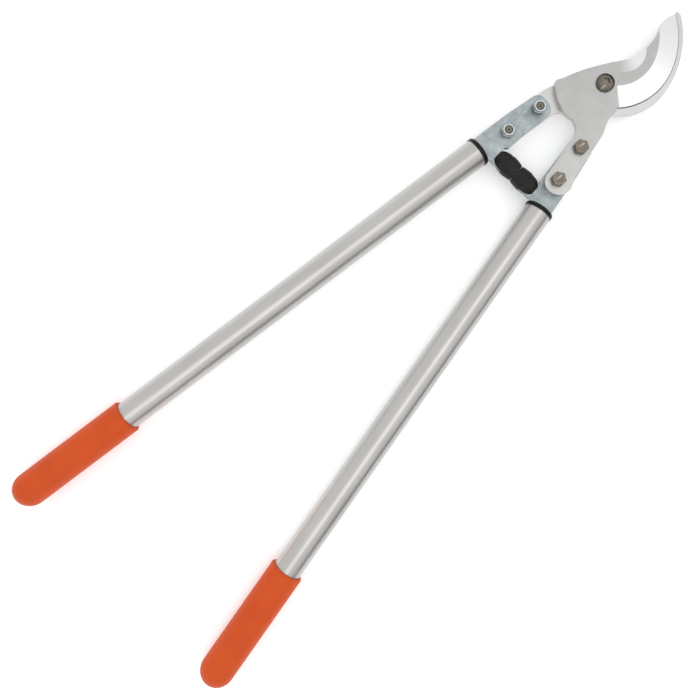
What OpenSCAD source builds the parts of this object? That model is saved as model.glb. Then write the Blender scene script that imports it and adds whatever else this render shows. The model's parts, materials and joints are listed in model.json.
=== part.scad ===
// Bypass loppers: a curved cutting blade passes a curved hook on one pivot. Each is bolted to a flat
// steel tang, and each tang is driven into a long round aluminium handle with a slip-on grip.
// The loppers lie flat and closed. +X runs to the jaws along the line midway between the handles,
// +Y to the handle that carries the hook, +Z up. The origin is under the middle of the whole tool,
// on the surface it lies on. The hook's half stays still, and the blade's half turns on the pivot.

/* [Overall] */
// Length from the grip ends to the tip of the hook, along X
overall_length = 810; // [700:1:900]
// Angle between each handle and the X axis, jaws closed
half_angle = 9; // [8:0.5:11]
// Distance of each handle's axis from the X axis, beside the pivot
axis_offset = 21; // [20:0.5:22]
// Distance of the pivot from the X axis, towards the blade's handle
pivot_offset = 1.6; // [1:0.1:2]

/* [Handles] */
// Outer diameter of the handle tube
tube_d = 28.6; // [28:0.1:29]
// Wall of the handle tube
tube_wall = 1.5; // [1.2:0.1:1.8]
// Outer diameter of the grip
grip_d = 35; // [34:0.5:36]
// Length of the grip, round end included
grip_length = 138; // [120:1:150]
// Distance from the pivot station to the collar's front face, along the handle
collar_station = 134; // [134:0.5:136]
// Diameter of the collar's flange
collar_d = 30; // [29.6:0.1:30.4]
// Thickness of the collar's flange
collar_flange = 4.5; // [4:0.1:6]
// Depth of the collar's sleeve inside the tube
collar_depth = 45; // [30:1:60]

/* [Blade and hook] */
// Thickness of the blade and of the hook
jaw_thickness = 6.5; // [6:0.1:7]
// Gap between the blade's and the hook's sliding faces
jaw_gap = 0.2; // [0.1:0.05:0.3]
// Distance from the pivot to the tip of the hook, along X
jaw_reach = 105.6; // [105:0.1:106]
// Radius of the blade's rounded back, about the pivot
back_r = 49.4; // [48:0.1:50]
// Width of the ground bevel along the cutting edge
bevel_width = 21.5; // [20:0.5:23]
// Height of the bevel at its inner line
bevel_height = 5.2; // [4.5:0.1:6]
// Slope of the scoop's floor beside the spine, in degrees
scoop_tip = 1.1; // [0.8:0.05:1.2]

/* [Tangs and bumpers] */
// Thickness of the tangs
tang_thickness = 5; // [4.6:0.1:5]
// Width of the tang's shank inside the handle
shank_width = 24; // [20:0.5:24.4]
// Length of the tang's shank inside the handle
shank_length = 98; // [60:1:120]
// Largest diameter of the rubber bumpers
bumper_d = 21.4; // [20:0.1:22]
// Gap between the two bumpers when the jaws are closed
bumper_gap = 0.3; // [0.3:0.05:0.5]

/* [Fasteners] */
// Nominal diameter of the tang bolts
bolt_d = 8; // [8:1:8]
// Length of the tang bolts under the head
bolt_length = 20; // [20:1:22]
// Diameter of the pivot bolt's shoulder
shoulder_d = 12; // [11:0.5:13]
// Diameter of the pivot bolt's round head
pivot_head_d = 18.5; // [17:0.5:20]

/* [Hidden] */
$fn = 64;

// Everything is laid out with the jaws' sliding plane at z = 0 and the pivot beside x = 0.
grip_r = grip_d / 2;
tube_r = tube_d / 2;
tube_bore_r = tube_r - tube_wall;
dome_station = (overall_length - jaw_reach - grip_r) / cos(half_angle);
tube_station = collar_station + collar_flange;
pivot = [0, -pivot_offset];
middle_x = jaw_reach - overall_length / 2;
face = jaw_gap / 2;
jaw_top = face + jaw_thickness;
tang_top = face + tang_thickness - jaw_gap;
slip = 0.05;

// Places on a handle: u along its axis towards the jaws, v across it, away from the other handle.
function on_handle(u, v) =
    [u * cos(half_angle) + v * sin(half_angle), axis_offset - u * sin(half_angle) + v * cos(half_angle)];
bolt_places = [on_handle(-63.5, -2.4), on_handle(-102.2, -2.4)];

// --- outlines -----------------------------------------------------------------------------------

// An outline is a list of corners [x, y, radius]. Arcs come in as corners of no radius.
function unit(v) = v / norm(v);
function arc(centre, r, from, to) =
    let (n = ceil(abs(to - from) / 2.5))
    [for (i = [0:n]) let (a = from + (to - from) * i / n) [centre.x + r * cos(a), centre.y + r * sin(a), 0]];
function turned(before, corner, after) =
    let (p = [corner.x, corner.y], r = corner.z,
         back = unit([before.x, before.y] - p), ahead = unit([after.x, after.y] - p),
         half = acos(back * ahead) / 2)
    r == 0 ? [p] :
    let (centre = p + unit(back + ahead) * r / sin(half),
         start = p + back * r / tan(half) - centre, end = p + ahead * r / tan(half) - centre,
         a = atan2(start.y, start.x), sweep = atan2(end.y, end.x) - a,
         turn = sweep > 180 ? sweep - 360 : sweep < -180 ? sweep + 360 : sweep,
         n = max(3, ceil(abs(turn) / 6)))
    [for (i = [0:n]) centre + r * [cos(a + turn * i / n), sin(a + turn * i / n)]];
function distinct(path) =
    [for (i = [0:len(path) - 1]) if (norm(path[i] - path[(i + 1) % len(path)]) > 0.01) path[i]];
function rounded(corners) =
    let (path = distinct(corners), n = len(path))
    [for (i = [0:n - 1]) each turned(path[(i + n - 1) % n], path[i], path[(i + 1) % n])];
function corner(u, v, r) = concat(on_handle(u, v), [r]);

// The cutting edge is two arcs that meet smoothly: one near the heel, a flatter one to the tip.
edge_heel_r = 62;
edge_tip_r = 87;
edge_meet = atan2(-117, 44);
edge_heel_centre = [36, 16.5];
edge_tip_centre = edge_heel_centre + (edge_heel_r - edge_tip_r) * [44, -117] / 125;
edge_heel_angle = -130.5;
edge_tip_angle = -30.5;

// The hook's outer edge is two such arcs too.
rim_heel_r = 53.4;
rim_tip_r = 97.2;
rim_meet = -82.9;
rim_tip_centre = [24.3, 45];
rim_heel_centre =
    rim_tip_centre + (rim_tip_r - rim_heel_r) * [cos(rim_meet), sin(rim_meet)];

// The spine: hollow along the jaw, then a long shoulder back over the arm.
spine_hollow_r = 55;
spine_hollow_centre = [57.5, 48];
shoulder_r = 160.8;
shoulder_centre = [-80, -119.4];

// The rounded end of the arm that takes the two bolts, with its inner side, on the hook's handle.
arm_end = [corner(-90, 10, 40), corner(-103, 13.4, 12), corner(-116.2, 9, 13),
           corner(-116.2, -14.2, 12)];

function blade_outline() = rounded(concat(
    arc(edge_tip_centre, edge_tip_r, edge_tip_angle, edge_meet),
    arc(edge_heel_centre, edge_heel_r, edge_meet, edge_heel_angle),
    [[-7.5, -26.3, 2], [-14, -29.3, 6], [-24, -28.6, 20], [-38, -35.6, 30]],
    [for (p = arm_end) [p.x, -p.y, p.z]],
    [[-46.6, -14.2, 13]],
    arc(pivot, back_r, -186, -227),
    [[-31.6, 35.6, 3]],
    arc(shoulder_centre, shoulder_r, 70, 57.5),
    arc(spine_hollow_centre, spine_hollow_r, -133, -70),
    [[88.5, 0.6, 18]]));

// How far the hook's inner edge lies inside the cutting edge.
jaw_overlap = 4.5;
hook_nose = [jaw_reach, -5.6];

function hook_outline() = rounded(concat(
    [[99.5, -3.2, 2], [hook_nose.x + 0.4, hook_nose.y + 2.4, 2.2]],
    arc(rim_tip_centre, rim_tip_r, -34, rim_meet),
    arc(rim_heel_centre, rim_heel_r, rim_meet, -143),
    [[-19, -25.5, 10], [-42, -11, 26]],
    [[-49, 13.6, 12]],
    [for (i = [len(arm_end) - 1:-1:0]) arm_end[i]],
    [corner(-46, 9.9, 30)],
    arc(shoulder_centre, shoulder_r - 0.8, 70.5, 60.5),
    arc(pivot, 18, 48, -12),
    [[8, -31, 11]],
    arc(edge_heel_centre, edge_heel_r - jaw_overlap, -108, edge_meet),
    arc(edge_tip_centre, edge_tip_r - jaw_overlap, edge_meet, -34)));

// The tang: a shank for the handle, then a wide flat for the bolts. It lies on the hook's arm.
bumper_base = 25.6;
bumper_x = -123.8;
function tang_outline() = rounded([
    corner(-collar_station - shank_length, -shank_width / 2, 2),
    corner(-collar_station + 0.2, -shank_width / 2, 2),
    [-132.6, bumper_base + 1, 1.5], [-130.5, bumper_base, 0.5], [-115, bumper_base, 1],
    [-112.6, 22.3, 1.6],
    corner(-94, -14.9, 40), corner(-52.4, -13.8, 8.5), corner(-52.4, 9.8, 9), corner(-92, 12, 60),
    corner(-collar_station - shank_length, shank_width / 2, 2)]);

// --- shapes used more than once -------------------------------------------------------------------

module whole() translate([-middle_x, 0, grip_r]) children();
module blade_half() rotate([180, 0, 0]) children();
module on_bolts() for (p = bolt_places) translate([p.x, p.y, 0]) children();
module along_handle()
    translate([0, axis_offset, 0]) rotate([0, 0, -half_angle]) rotate([0, -90, 0]) children();

// A ring round the z axis.
module ring(outer_r, inner_r, height) difference() {
    cylinder(r = outer_r, h = height);
    translate([0, 0, -1]) cylinder(r = inner_r, h = height + 2);
}

// A hexagon whose corners are turned away at the top.
module hexagon(across_flats, height) intersection() {
    cylinder(r = across_flats / sqrt(3), h = height, $fn = 6);
    cylinder(r1 = across_flats / 2 + height * 1.7, r2 = across_flats / 2 - 0.2, h = height);
}

// A hexagon bolt, its head below z = 0 and its shank above, with a shallow round dish in the head
// and a centre mark in the shank's end.
module hex_bolt(d, length, across_flats, head) difference() {
    union() {
        rotate([180, 0, 0]) hexagon(across_flats, head);
        cylinder(r = d / 2, h = length - 1);
        translate([0, 0, length - 1]) cylinder(r1 = d / 2, r2 = d / 2 - 0.9, h = 1);
    }
    translate([0, 0, -head - across_flats + 0.8]) sphere(r = across_flats);
    translate([0, 0, length - 0.8]) cylinder(r1 = 0.3, r2 = 2, h = 1);
}

// A lock nut: a hexagon with a round collar above it, where the nylon ring sits.
module lock_nut(d, across_flats, hex_height, height) difference() {
    union() {
        hexagon(across_flats, hex_height);
        cylinder(r = across_flats * 0.44, h = height);
    }
    translate([0, 0, -1]) cylinder(r = d / 2 + slip, h = height + 2);
    translate([0, 0, hex_height]) cylinder(r = d / 2 + 1.2, h = height - hex_height - 0.6);
}

module nylon_ring(d, height) ring(d / 2 + 1.15, d / 2 + slip, height);

bolt_af = 13;
bolt_head = 5.3;
nut_hex = 5.6;
nut_height = 8;

// --- one half's handle, as it stands on the hook's side --------------------------------------------

module tang_bolts() color("#9b8f7c") on_bolts()
    translate([0, 0, -jaw_top]) hex_bolt(bolt_d, bolt_length, bolt_af, bolt_head);

module tang_nuts() color("#c3cbca") on_bolts()
    translate([0, 0, tang_top]) lock_nut(bolt_d, bolt_af, nut_hex, nut_height);

module tang_nut_inserts() color("#e8e6da") on_bolts()
    translate([0, 0, tang_top + nut_hex]) nylon_ring(bolt_d, nut_height - nut_hex - 0.65);

// The tang's side view: the shank lies on the handle's axis, and a soft bend lifts the flat by half
// of the tang's thickness, onto the arm.
bend_x = -131;
bend_run = 14;
bend_r = 30;
module tang_side() {
    half = tang_thickness / 2;
    polygon(rounded([[-300, -half, 0], [bend_x, -half, bend_r], [bend_x + bend_run, -face, bend_r],
                     [0, -face, 0], [0, tang_top, 0], [bend_x + bend_run - 0.4, tang_top, bend_r],
                     [bend_x - 0.4, half, bend_r], [-300, half, 0]]));
}

lug_x = -133.2;
lug_width = 16;
lug_length = 13;
lug_root = 0.8;
module tang() color("#a9b4b6") difference() {
    union() {
        intersection() {
            translate([0, 0, -10]) linear_extrude(20) polygon(tang_outline());
            translate([0, 100, 0]) rotate([90, 0, 0]) linear_extrude(150) tang_side();
        }
        // the lug that the bumper is pushed onto
        translate([lug_x, bumper_base - lug_length, -tang_thickness / 2])
            cube([lug_width, lug_length + lug_root, tang_thickness]);
    }
    on_bolts() translate([0, 0, -10]) cylinder(r = bolt_d / 2 + 0.25, h = 20);
}

// Half of the bumper's outline: from its flat nose to the end beside the tang.
module bumper_half_section() {
    r = bumper_d / 2;
    top = bumper_base - bumper_gap / 2;
    polygon(concat([[0, 0], [r - 2.2, 0], [r - 1.3, 0.8]],
                   [for (i = [1:6]) [r - 1.3 * pow(1 - i / 6, 2), 0.8 + i * 1.9]],
                   [[r - 0.5, 12.6]],
                   [for (i = [0:6]) let (a = i * 12)
                       [r - 0.5 - 7 * (1 - cos(a)), 14 + (top - 14) * sin(a) / sin(72)]],
                   [[0, top]]));
}
module bumper() color("#2a2b26") difference() {
    translate([bumper_x, bumper_gap / 2, 0]) rotate([-90, 0, 0]) rotate_extrude() bumper_half_section();
    // two moulded flats, one on each face
    for (flat = [[1.6, 12.6, 9.5], [13.8, 23.5, -9.1]])
        translate([bumper_x - 8, flat[0], flat[2] > 0 ? flat[2] : flat[2] - 10])
            cube([16, flat[1] - flat[0], 10]);
    // the slot for the lug, open at the back
    translate([-140, bumper_base - lug_length, -tang_thickness / 2])
        cube([140 + lug_x + lug_width, lug_length + 1, tang_thickness]);
}

module collar() color("#232420") difference() {
    along_handle() {
        translate([0, 0, collar_station]) cylinder(r1 = collar_d / 2 - 1.1, r2 = collar_d / 2, h = 1.4);
        translate([0, 0, collar_station + 1.4]) cylinder(r = collar_d / 2, h = collar_flange - 1.4);
        translate([0, 0, collar_station]) cylinder(r = tube_bore_r - slip, h = collar_flange + collar_depth);
    }
    along_handle() translate([-tang_thickness / 2, -shank_width / 2, collar_station - 1])
        cube([tang_thickness, shank_width, collar_flange + collar_depth + 2]);
}

module tube() color("#c9c4bc") along_handle() translate([0, 0, tube_station])
    ring(tube_r, tube_bore_r, dome_station - tube_station);

// The grip is a sleeve with a thick round end. The tube stops where the round end begins.
module grip() color("#d85524") along_handle() {
    mouth = dome_station + grip_r - grip_length;
    difference() {
        union() {
            translate([0, 0, mouth]) cylinder(r1 = grip_r - 1, r2 = grip_r, h = 1);
            translate([0, 0, mouth + 1]) cylinder(r = grip_r, h = dome_station - mouth - 1);
            translate([0, 0, dome_station]) sphere(r = grip_r);
        }
        translate([0, 0, mouth - 1]) cylinder(r = tube_r + slip, h = dome_station - mouth + 1);
        translate([0, 0, dome_station]) sphere(r = tube_r - 0.8);
    }
}

// --- blade, hook and pivot -------------------------------------------------------------------------

module bored(places, r) difference() {
    children();
    for (p = places) translate([p.x, p.y, -20]) cylinder(r = r, h = 40);
}

module hook() color("#cfcdc7") bored(bolt_places, bolt_d / 2 + 0.25) bored([pivot], shoulder_d / 2 + slip)
    translate([0, 0, -jaw_top]) linear_extrude(jaw_thickness) polygon(hook_outline());

// What the grinding wheel takes off, round one arc of the cutting edge: the wide bevel, and a steeper
// land along the edge itself.
module bevel_cut(centre, r, to) {
    land = 1;
    land_height = 0.9;
    past = 3;
    translate([centre.x, centre.y, face]) rotate([0, 0, edge_meet]) rotate_extrude(angle = to - edge_meet)
        polygon([[r - bevel_width, bevel_height], [r - land, land_height],
                 [r + past, land_height - land - past], [r + past, 12], [r - bevel_width, 12]]);
}

// The scoop beside the spine: a level floor that runs out towards the pivot, and a low wall that
// slopes up from it to the spine.
scoop_centre = [37.3, 7.9];
scoop_r = 22.3;
scoop_slope = 2.1;
scoop_start = 8;
module scoop_cut() {
    clear_r = 4;
    reach = 40;
    height = 6;
    translate([scoop_start, 0, jaw_top]) rotate([0, scoop_tip, 0])
        translate([scoop_centre.x - scoop_start, scoop_centre.y, 0]) rotate_extrude()
            polygon([[clear_r, (scoop_r - clear_r) * tan(scoop_slope)], [scoop_r, 0],
                     [scoop_r + reach, 0], [scoop_r + reach, height], [clear_r, height]]);
}

// The bevel stops at the heel against a sloping wall, on a line at 45 degrees in front of the pivot.
heel_line = 17.7;
heel_slope = 40;
module blade() color("#bfbdb7") bored([for (p = bolt_places) [p.x, -p.y]], bolt_d / 2 + 0.25)
    bored([pivot], shoulder_d / 2 + slip) difference() {
        translate([0, 0, face]) linear_extrude(jaw_thickness) polygon(blade_outline());
        bevel_cut(edge_tip_centre, edge_tip_r, -20);
        intersection() {
            bevel_cut(edge_heel_centre, edge_heel_r, -175);
            translate([0, -heel_line, jaw_top]) rotate([0, 0, -135]) rotate([heel_slope, 0, 0])
                translate([-150, 0, -60]) cube([300, 150, 120]);
        }
        scoop_cut();
    }

// The pivot bolt's round head lies on the blade. Its shoulder passes through the blade and the hook,
// and its thread takes the lock nut under the hook.
pivot_thread_r = 5;
pivot_head_h = 4.6;
pivot_nut_height = 7.3;
pivot_washer_thickness = 1.6;
module pivot_bolt() color("#8d8170") translate([pivot.x, pivot.y, 0]) difference() {
    union() {
        translate([0, 0, jaw_top + face]) intersection() {
            cylinder(r = pivot_head_d / 2, h = pivot_head_h);
            translate([0, 0, pivot_head_h - 15]) sphere(r = 15);
        }
        translate([0, 0, -jaw_top + face]) cylinder(r = shoulder_d / 2, h = 2 * jaw_top);
        translate([0, 0, -17]) cylinder(r = pivot_thread_r, h = 17);
    }
    translate([0, 0, jaw_top + face + pivot_head_h - 2.4]) cylinder(r = 7 / sqrt(3), h = 5, $fn = 6);
}
module pivot_washer() color("#c9c8c2") translate([pivot.x, pivot.y, -jaw_top - pivot_washer_thickness])
    ring(10.5, pivot_thread_r + 0.2, pivot_washer_thickness);
module under_pivot()
    translate([pivot.x, pivot.y, -jaw_top - pivot_washer_thickness]) rotate([180, 0, 0]) children();
module pivot_nut() color("#c3cbca") under_pivot() lock_nut(pivot_thread_r * 2, 17, 5, pivot_nut_height);
module pivot_nut_insert() color("#e8e6da") under_pivot() translate([0, 0, 5])
    nylon_ring(pivot_thread_r * 2, pivot_nut_height - 5 - 0.65);

whole() hook();
whole() blade();
whole() pivot_bolt();
whole() pivot_washer();
whole() pivot_nut();
whole() pivot_nut_insert();
whole() tang();  // hook_tang
whole() bumper();  // hook_bumper
whole() collar();  // hook_collar
whole() tube();  // hook_tube
whole() grip();  // hook_grip
whole() tang_bolts();  // hook_bolts
whole() tang_nuts();  // hook_nuts
whole() tang_nut_inserts();  // hook_nut_inserts
whole() blade_half() tang();  // blade_tang
whole() blade_half() bumper();  // blade_bumper
whole() blade_half() collar();  // blade_collar
whole() blade_half() tube();  // blade_tube
whole() blade_half() grip();  // blade_grip
whole() blade_half() tang_bolts();  // blade_bolts
whole() blade_half() tang_nuts();  // blade_nuts
whole() blade_half() tang_nut_inserts();  // blade_nut_inserts
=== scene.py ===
"""Bypass loppers lying closed on a pale floor.

Finishes, floor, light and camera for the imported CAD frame. Lengths are in metres.
"""

import json
import math

import bpy
from mathutils import Matrix, Vector

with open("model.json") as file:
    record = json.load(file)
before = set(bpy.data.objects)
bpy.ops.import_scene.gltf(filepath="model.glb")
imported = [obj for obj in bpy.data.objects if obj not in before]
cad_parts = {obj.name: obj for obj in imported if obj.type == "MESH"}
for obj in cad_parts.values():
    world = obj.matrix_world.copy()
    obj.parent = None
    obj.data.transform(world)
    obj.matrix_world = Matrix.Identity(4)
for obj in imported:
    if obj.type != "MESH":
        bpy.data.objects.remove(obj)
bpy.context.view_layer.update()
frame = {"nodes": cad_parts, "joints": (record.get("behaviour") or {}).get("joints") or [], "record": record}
record = frame["record"]

# --- places, worked out from the frame ---------------------------------------------------------

mid_height = frame["joints"][0]["pos_m"][2]
grip_axis = Vector(next(m for m in record["mounts"] if m["name"] == "hook_grip_end")["axis"])
half_angle = math.atan2(grip_axis.y, -grip_axis.x)
middle = Vector((0, 0, mid_height))

# How far up the normals of the blade's heel wall and of the land along its edge point, from their
# slopes, and how close to that a normal counts as theirs. The heel wall gets a painted highlight,
# the land a painted shade.
heel_up = math.cos(math.radians(50))
land_up = math.cos(math.radians(45))
same_up = 0.02

# --- shader helpers ----------------------------------------------------------------------------


class Shader:
    """A material's node tree, with short names for what the finishes below repeat."""

    def __init__(self, name, base, metallic, roughness):
        self.material = bpy.data.materials.new(name)
        self.material.use_nodes = True
        self.tree = self.material.node_tree
        self.surface = self.tree.nodes["Principled BSDF"]
        self.surface.inputs["Base Color"].default_value = (*base, 1)
        self.surface.inputs["Metallic"].default_value = metallic
        self.surface.inputs["Roughness"].default_value = roughness
        self.place = self.node("ShaderNodeTexCoord").outputs["Object"]

    def node(self, kind, **settings):
        made = self.tree.nodes.new(kind)
        for key, value in settings.items():
            setattr(made, key, value)
        return made

    def link(self, source, target):
        self.tree.links.new(source, target)

    def math(self, operation, *values):
        made = self.node("ShaderNodeMath", operation=operation)
        for socket, value in zip(made.inputs, values):
            if isinstance(value, (int, float)):
                socket.default_value = value
            else:
                self.link(value, socket)
        return made.outputs[0]

    def mapped(self, scale, turn=0.0):
        made = self.node("ShaderNodeMapping", vector_type="TEXTURE")
        made.inputs["Rotation"].default_value = (0, 0, turn)
        made.inputs["Scale"].default_value = [1 / s for s in scale]
        self.link(self.place, made.inputs["Vector"])
        return made.outputs[0]

    def noise(self, place, scale=1.0, detail=3.0, roughness=0.55):
        made = self.node("ShaderNodeTexNoise")
        made.inputs["Scale"].default_value = scale
        made.inputs["Detail"].default_value = detail
        made.inputs["Roughness"].default_value = roughness
        self.link(place, made.inputs["Vector"])
        return made.outputs["Fac"]

    def upward(self, normal):
        """How far up the surface's normal points: 1 on a level face, 0 on an upright one."""
        made = self.node("ShaderNodeSeparateXYZ")
        self.link(self.node("ShaderNodeNewGeometry").outputs[normal], made.inputs[0])
        return made.outputs["Z"]

    def ramp(self, value, low, high, out_low=0.0, out_high=1.0):
        made = self.node("ShaderNodeMapRange")
        made.inputs["From Min"].default_value = low
        made.inputs["From Max"].default_value = high
        made.inputs["To Min"].default_value = out_low
        made.inputs["To Max"].default_value = out_high
        self.link(value, made.inputs["Value"])
        return made.outputs["Result"]

    def mix(self, share, first, second):
        made = self.node("ShaderNodeMix", data_type="RGBA")
        self.link(share, made.inputs["Factor"])
        for socket, value in ((made.inputs["A"], first), (made.inputs["B"], second)):
            if isinstance(value, tuple):
                socket.default_value = (*value, 1)
            else:
                self.link(value, socket)
        return made.outputs["Result"]

    def colour(self, value):
        self.link(value, self.surface.inputs["Base Color"])

    def rough(self, value):
        self.link(value, self.surface.inputs["Roughness"])

    def bump(self, height, distance, strength=1.0):
        made = self.node("ShaderNodeBump")
        made.inputs["Distance"].default_value = distance
        made.inputs["Strength"].default_value = strength
        self.link(height, made.inputs["Height"])
        self.link(made.outputs[0], self.surface.inputs["Normal"])


# --- finishes ----------------------------------------------------------------------------------


def tube_finish(name, turn):
    """Satin anodised aluminium, with faint drawing lines along the tube."""
    s = Shader(name, (0.53, 0.515, 0.49), 1.0, 0.36)
    lines = s.noise(s.mapped((4, 900, 900), turn), detail=4)
    clouds = s.noise(s.mapped((14, 60, 60), turn), detail=2)
    s.colour(s.mix(s.ramp(clouds, 0.3, 0.7), (0.505, 0.492, 0.468), (0.56, 0.547, 0.523)))
    s.rough(s.ramp(lines, 0.3, 0.7, 0.31, 0.42))
    s.bump(lines, 0.00002, 0.5)
    return s.material


def grip_finish(name):
    """Orange vinyl: nearly even, with a fine skin and slightly worn, duller patches."""
    s = Shader(name, (0.6, 0.075, 0.009), 0.0, 0.52)
    s.surface.inputs["Specular IOR Level"].default_value = 0.2
    clouds = s.noise(s.place, 38, detail=3)
    skin = s.noise(s.place, 1600, detail=3)
    s.colour(s.mix(s.ramp(clouds, 0.3, 0.7), (0.57, 0.068, 0.008), (0.63, 0.082, 0.011)))
    s.rough(s.ramp(clouds, 0.3, 0.7, 0.42, 0.56))
    s.bump(skin, 0.00006, 0.35)
    return s.material


def zinc_finish(name, light, dark):
    """Blue-grey zinc plating with cloudy spangles, on rolled plate."""
    s = Shader(name, light, 0.92, 0.42)
    clouds = s.noise(s.place, 85, detail=6, roughness=0.7)
    specks = s.noise(s.place, 420, detail=4, roughness=0.7)
    s.colour(s.mix(s.ramp(clouds, 0.36, 0.66), dark, light))
    s.rough(s.ramp(specks, 0.3, 0.7, 0.34, 0.5))
    s.bump(specks, 0.00008, 0.35)
    return s.material


def jaw_finish(name, base, ground_highlight, edge_shade_share=1.0):
    """Satin steel. Where the surface leans (bevel, scoop walls, heel wall), its colour is painted
    brighter: partly its ground finish, partly a painted highlight of the light it faces. The land along
    the cutting edge is painted darker, the base colour times the edge shade share: a painted shade."""
    s = Shader(name, base, 1.0, 0.34)
    clouds = s.noise(s.place, 60, detail=4, roughness=0.6)
    grain = s.noise(s.mapped((60, 700, 700), -0.6), detail=4)
    up = s.upward("True Normal")
    # Painted highlight: faces that lean like the bevel, the scoop's walls and the heel wall get a brighter
    # colour, partly their ground finish.
    bevel = s.math("MULTIPLY", s.ramp(up, 0.995, 0.985), s.ramp(up, 0.95, 0.97))
    scoop = s.math("MULTIPLY", s.ramp(up, 0.9998, 0.9992, 0.0, 0.8), s.ramp(up, 0.985, 0.995))
    heel = s.math("COMPARE", up, heel_up, same_up)
    land = s.math("COMPARE", up, land_up, same_up)
    leaning = s.math("MAXIMUM", s.math("MAXIMUM", bevel, scoop), heel)
    darker = tuple(c * 0.9 for c in base)
    body = s.mix(s.ramp(clouds, 0.32, 0.68), darker, base)
    # Painted shade: the land along the cutting edge gets the base colour times a share below one.
    edge_shade = tuple(c * edge_shade_share for c in base)
    s.colour(s.mix(land, s.mix(leaning, body, ground_highlight), edge_shade))
    s.rough(s.ramp(grain, 0.3, 0.7, 0.28, 0.4))
    s.bump(grain, 0.00002, 0.4)
    return s.material


def plated_finish(name, base, roughness):
    """Polished plating with faint handling marks, and a painted shade: darker where the surface leans or
    stands, for the dark surroundings its edges reflect.
    """
    s = Shader(name, base, 1.0, roughness)
    marks = s.noise(s.place, 700, detail=5, roughness=0.65)
    plating = s.mix(s.ramp(marks, 0.3, 0.7), tuple(c * 0.86 for c in base), base)
    # Painted shade: leaning and standing faces get 0.4 of the plating's colour.
    flat = s.ramp(s.upward("Normal"), 0.8, 0.985)
    s.colour(s.mix(flat, tuple(c * 0.4 for c in base), plating))
    s.rough(s.ramp(marks, 0.3, 0.7, roughness, roughness + 0.1))
    return s.material


def moulded_finish(name, base, roughness, grain_depth, specular=0.5):
    """Moulded rubber or plastic with a fine grain."""
    s = Shader(name, base, 0.0, roughness)
    s.surface.inputs["Specular IOR Level"].default_value = specular
    grain = s.noise(s.place, 1300, detail=4)
    dust = s.noise(s.place, 160, detail=5, roughness=0.65)
    s.colour(s.mix(s.ramp(dust, 0.4, 0.75), base, tuple(c * 1.7 for c in base)))
    s.rough(s.ramp(grain, 0.3, 0.7, roughness - 0.07, roughness + 0.08))
    s.bump(grain, grain_depth, 0.5)
    return s.material


def give(material, *nodes):
    for name in nodes:
        frame["nodes"][name].material_slots[0].material = material


# Each steel's second colour is its painted highlight on leaning faces; the blade's edge land is painted darker,
# a painted shade.
give(jaw_finish("blade_steel", base=(0.52, 0.515, 0.495), ground_highlight=(0.83, 0.825, 0.81), edge_shade_share=0.45),
     "blade")
give(jaw_finish("hook_steel", base=(0.68, 0.675, 0.655), ground_highlight=(0.7, 0.7, 0.68)), "hook")
give(zinc_finish("tang_zinc", light=(0.46, 0.5, 0.505), dark=(0.28, 0.32, 0.325)), "hook_tang", "blade_tang")
give(plated_finish("nickel", base=(0.25, 0.222, 0.178), roughness=0.14),
     "pivot_bolt", "hook_bolts", "blade_bolts")
give(plated_finish("bright_zinc", base=(0.66, 0.69, 0.69), roughness=0.22),
     "pivot_washer", "pivot_nut", "hook_nuts", "blade_nuts")
give(moulded_finish("nylon", base=(0.72, 0.68, 0.58), roughness=0.45, grain_depth=0.00004),
     "pivot_nut_insert", "hook_nut_inserts", "blade_nut_inserts")
give(moulded_finish("bumper_rubber", base=(0.009, 0.0095, 0.0078), roughness=0.5, grain_depth=0.00012,
                    specular=0.25),
     "hook_bumper", "blade_bumper")
give(moulded_finish("collar_plastic", base=(0.006, 0.006, 0.0056), roughness=0.4, grain_depth=0.00004,
                    specular=0.2),
     "hook_collar", "blade_collar")
give(tube_finish("hook_tube_satin", turn=-half_angle), "hook_tube")
give(tube_finish("blade_tube_satin", turn=half_angle), "blade_tube")
give(grip_finish("grip_vinyl"), "hook_grip", "blade_grip")


# --- soft edges on the CAD nodes, by modifiers only ----------------------------------------------

# Vertices closer than this are one. Faces that turn less than flat_turn are one face, and an edge
# that turns more than sharp_turn is rounded.
same_place = 0.000005
flat_turn = math.radians(0.2)
sharp_turn = math.radians(35)


def soft_edges(width, *names, harden=True):
    """Rounds the nodes' sharp edges by a fraction of a millimetre, so that they catch the light."""
    for name in names:
        piece = frame["nodes"][name]
        piece.modifiers.new("weld", "WELD").merge_threshold = same_place
        flat = piece.modifiers.new("join_flat_faces", "DECIMATE")
        flat.decimate_type = "DISSOLVE"
        flat.angle_limit = flat_turn
        bevel = piece.modifiers.new("soft_edges", "BEVEL")
        bevel.width = width
        bevel.segments = 3
        bevel.limit_method = "ANGLE"
        bevel.angle_limit = sharp_turn
        bevel.use_clamp_overlap = False
        bevel.harden_normals = harden


soft_edges(0.0007, "hook")
soft_edges(0.00018, "hook_tang", "blade_tang", harden=False)
soft_edges(0.00025, "hook_bolts", "blade_bolts", "hook_nuts", "blade_nuts", "pivot_nut", "pivot_bolt")


# --- floor, light and camera ---------------------------------------------------------------------


def sheet(name, width, depth, material, centre, facing=(0, 0, 1)):
    mesh = bpy.data.meshes.new(name)
    x, y = width / 2, depth / 2
    mesh.from_pydata([(-x, -y, 0), (x, -y, 0), (x, y, 0), (-x, y, 0)], [], [(0, 1, 2, 3)])
    mesh.materials.append(material)
    made = bpy.data.objects.new(name, mesh)
    made.matrix_world = Matrix.Translation(centre) @ Vector(facing).to_track_quat("Z", "Y").to_matrix().to_4x4()
    bpy.context.scene.collection.objects.link(made)
    return made


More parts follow.
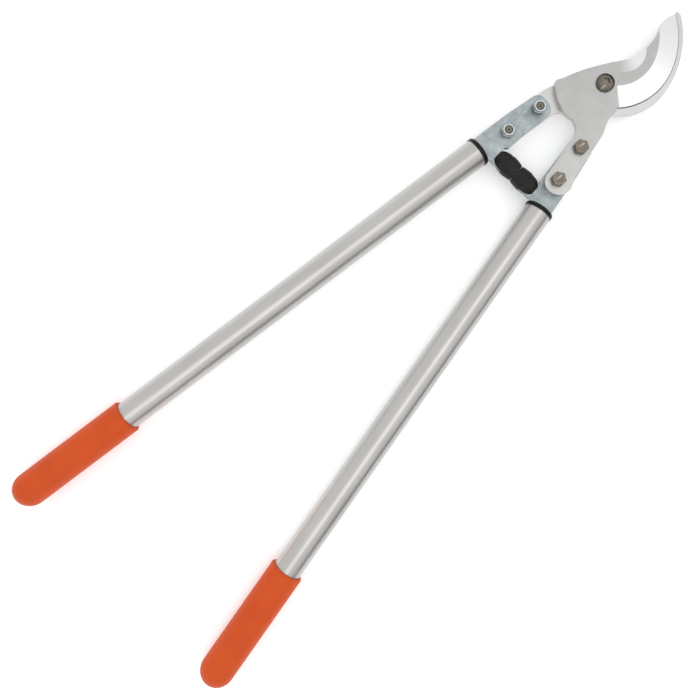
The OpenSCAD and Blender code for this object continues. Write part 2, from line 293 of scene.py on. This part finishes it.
def softbox(name, towards, distance, size, radiance, tint=(1, 1, 1)):
    """An area light that faces the middle of the loppers, the first side of its size along X. Its
    power follows from how bright it looks."""
    data = bpy.data.lights.new(name, "AREA")
    data.shape = "RECTANGLE"
    data.size, data.size_y = size
    data.energy = radiance * math.pi * size[0] * size[1]
    data.color = tint
    made = bpy.data.objects.new(name, data)
    direction = Vector(towards).normalized()
    side = (Vector((1, 0, 0)) - direction * direction.x).normalized()
    turn = Matrix((side, direction.cross(side), direction)).transposed().to_4x4()
    made.matrix_world = Matrix.Translation(middle + direction * distance) @ turn
    bpy.context.scene.collection.objects.link(made)
    return made


floor_paint = Shader("floor_paint", (0.93, 0.93, 0.93), 0.0, 0.9)
floor_paint.surface.inputs["Specular IOR Level"].default_value = 0.1
floor_paint.surface.inputs["Emission Color"].default_value = (1, 1, 1, 1)
floor_paint.surface.inputs["Emission Strength"].default_value = 0.25
sheet("floor", width=12, depth=12, material=floor_paint.material, centre=(0, 0, 0))

softbox("key_box", towards=(-0.1, -0.18, 0.97), distance=1.6, size=(1.9, 0.35), radiance=1.7,
        tint=(1, 0.985, 0.95))
softbox("jaw_box", towards=(0.635, -0.277, 0.723), distance=1.48, size=(0.3, 0.3), radiance=1.5)

# Low dark cards that only reflections see. They give the round metal its dark edges.
black = Shader("black_card", (0.1, 0.1, 0.1), 0.0, 0.9)
for name, width, depth, centre, facing in (("side_card", 3.2, 0.5, (0, -1.3, 0.25), (0, 1, 0)),
                                           ("end_card", 2.8, 0.4, (1.5, -0.1, 0.2), (-1, 0, 0))):
    card = sheet(name, width, depth, black.material, centre, facing)
    card.visible_camera = card.visible_diffuse = card.visible_shadow = False

world = bpy.data.worlds.new("studio")
world.use_nodes = True
world.node_tree.nodes["Background"].inputs["Color"].default_value = (0.97, 0.98, 1, 1)
world.node_tree.nodes["Background"].inputs["Strength"].default_value = 0.98
bpy.context.scene.world = world
bpy.context.scene.view_settings.view_transform = "Standard"

# The camera looks straight down from 0.7 m above the handles' axes, turned so that the jaws point
# to the upper right of the picture.
picture_turn = math.radians(46)
view_height = 0.7
lens = sensor_width = 36.0
shift = Vector((-0.03, -0.015))
picture_middle = Vector((-0.0666, -0.0034, mid_height))
right = Vector((math.cos(picture_turn), -math.sin(picture_turn), 0))
up = Vector((math.sin(picture_turn), math.cos(picture_turn), 0))
camera_data = bpy.data.cameras.new("camera")
camera_data.lens = lens
camera_data.sensor_width = sensor_width
camera_data.shift_x, camera_data.shift_y = shift
camera = bpy.data.objects.new("camera", camera_data)
frame_width = view_height * sensor_width / lens
eye = picture_middle - (right * shift.x + up * shift.y) * frame_width + Vector((0, 0, view_height))
camera.matrix_world = Matrix.Translation(eye) @ Matrix((right, up, (0, 0, 1))).transposed().to_4x4()
bpy.context.scene.collection.objects.link(camera)
bpy.context.scene.camera = camera
